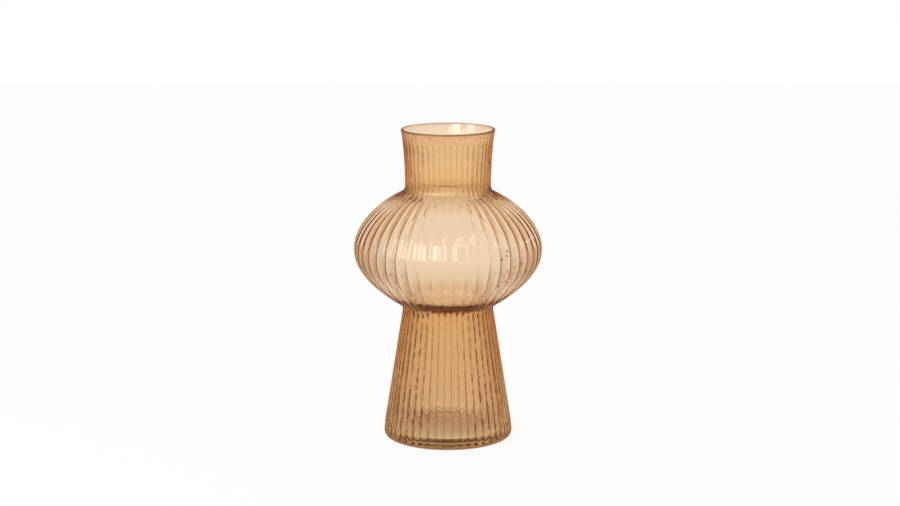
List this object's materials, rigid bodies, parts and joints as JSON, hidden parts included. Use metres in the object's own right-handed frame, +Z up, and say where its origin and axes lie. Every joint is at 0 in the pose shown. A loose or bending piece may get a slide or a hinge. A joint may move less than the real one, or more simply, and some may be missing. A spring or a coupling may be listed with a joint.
{
  "type": "vase",
  "caption": "Tall ribbed vase of clear amber glass: conical foot on a thick base, wide flattened bulb, narrow waist and a short flared neck with a smooth lip.",
  "frame": {"origin": "centre of the resting ring, on the plane the vase stands on", "axes": "+Z up along the axis of the vase; a rib crest faces each of +X, -X, +Y and -Y, and the picture looks at it along +Y"},
  "size_m": [0.1806, 0.1806, 0.3],
  "materials": {
    "amber_glass": "clear warm amber glass, fire-polished and glossy, deeper in colour where the glass is thick"
  },
  "bodies": {
    "root": {"base": "amber_glass", "foot": "amber_glass", "bulb": "amber_glass", "neck": "amber_glass", "rim": "amber_glass"}
  },
  "joints": []
}
